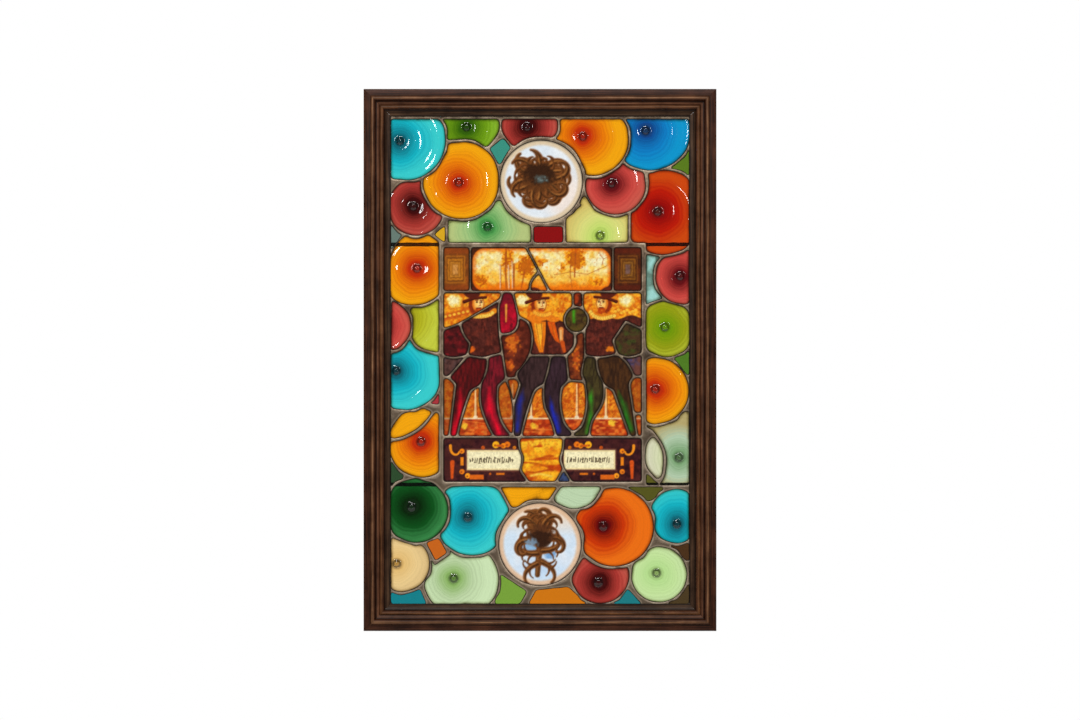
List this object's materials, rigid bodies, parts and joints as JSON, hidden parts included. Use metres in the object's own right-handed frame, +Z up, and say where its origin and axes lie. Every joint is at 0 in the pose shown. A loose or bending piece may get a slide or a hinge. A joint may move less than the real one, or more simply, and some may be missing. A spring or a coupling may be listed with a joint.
{
  "type": "stained glass window",
  "caption": "Leaded stained glass window: painted panel and two round medallions set among spun rondels, in a moulded oak frame to be hung or fixed.",
  "frame": {"origin": "middle of the top rail's back face, where the window is fixed to a wall or window head", "axes": "+Z up the window, +X to the right seen from the front, +Y out of the back; the front faces -Y"},
  "size_m": [0.55, 0.0332, 0.845],
  "materials": {
    "oak": "stained and waxed, worn on the ridges",
    "iron": "blackened wrought iron",
    "lead": "dull grey-brown lead with brighter worn ridges",
    "opal_glass": "coloured glass, glossy",
    "turquoise_glass": "coloured glass, glossy",
    "amber_glass": "coloured glass, glossy",
    "grass_glass": "coloured glass, glossy",
    "ruby_glass": "coloured glass, glossy",
    "cobalt_glass": "coloured glass, glossy",
    "rose_glass": "coloured glass, glossy",
    "flame_glass": "coloured glass, glossy",
    "lime_glass": "coloured glass, glossy",
    "emerald_glass": "coloured glass, glossy",
    "palegreen_glass": "coloured glass, glossy",
    "straw_glass": "coloured glass, glossy",
    "seagreen_glass": "coloured glass, glossy",
    "umber_glass": "coloured glass, glossy",
    "goldstain_glass": "coloured glass, glossy",
    "bottle_glass": "coloured glass, glossy",
    "garnet_glass": "coloured glass, glossy",
    "indigo_glass": "coloured glass, glossy"
  },
  "bodies": {
    "root": {"oak_bottom_rail": "oak", "oak_top_rail": "oak", "oak_left_stile": "oak", "oak_right_stile": "oak", "saddle_bar_upper": "iron", "saddle_bar_lower": "iron", "came_net": "lead", "medallion_upper": "opal_glass", "medallion_lower": "opal_glass", "rondel_turquoise_top_left": "turquoise_glass", "rondel_amber_top_left": "amber_glass", "rondel_green_top": "grass_glass", "rondel_ruby_top": "ruby_glass", "rondel_amber_top_right": "amber_glass", "rondel_cobalt_top_right": "cobalt_glass", "rondel_rose_top_right": "rose_glass", "rondel_flame_right": "flame_glass", "rondel_ruby_left": "ruby_glass", "rondel_amber_left": "amber_glass", "rondel_rose_left": "rose_glass", "rondel_lime_left": "lime_glass", "rondel_turquoise_left": "turquoise_glass", "rondel_amber_lower_left": "amber_glass", "rondel_amber_lower_left_crescent": "amber_glass", "rondel_emerald_bottom_left": "emerald_glass", "rondel_turquoise_bottom": "turquoise_glass", "rondel_palegreen_lower": "palegreen_glass", "rondel_flame_bottom": "flame_glass", "rondel_turquoise_bottom_right": "turquoise_glass", "rondel_straw_bottom_left": "straw_glass", "rondel_palegreen_bottom": "palegreen_glass", "rondel_ruby_bottom": "ruby_glass", "rondel_palegreen_bottom_right": "palegreen_glass", "rondel_rose_right": "rose_glass", "rondel_lime_right": "lime_glass", "rondel_amber_right": "amber_glass", "lens_palegreen_right": "palegreen_glass", "quarry_seagreen_upper": "seagreen_glass", "quarry_yellowgreen_upper": "palegreen_glass", "quarry_amber_lower": "amber_glass", "quarry_seagreen_right": "seagreen_glass", "quarry_palegreen_right": "palegreen_glass", "coffer_left": "umber_glass", "sky_left": "goldstain_glass", "sky_right": "goldstain_glass", "coffer_right": "umber_glass", "head_and_hills_left": "goldstain_glass", "jacket_left": "umber_glass", "chest_and_head_middle": "goldstain_glass", "jacket_and_head_right": "umber_glass", "sleeve_green_right": "bottle_glass", "leg_red_outer": "garnet_glass", "leg_red_inner": "garnet_glass", "leg_blue_outer": "indigo_glass", "leg_blue_inner": "indigo_glass", "leg_green_inner": "bottle_glass", "leg_green_outer": "bottle_glass", "base_tablet_left": "umber_glass", "base_shield": "goldstain_glass", "base_tablet_right": "umber_glass"}
  },
  "joints": []
}
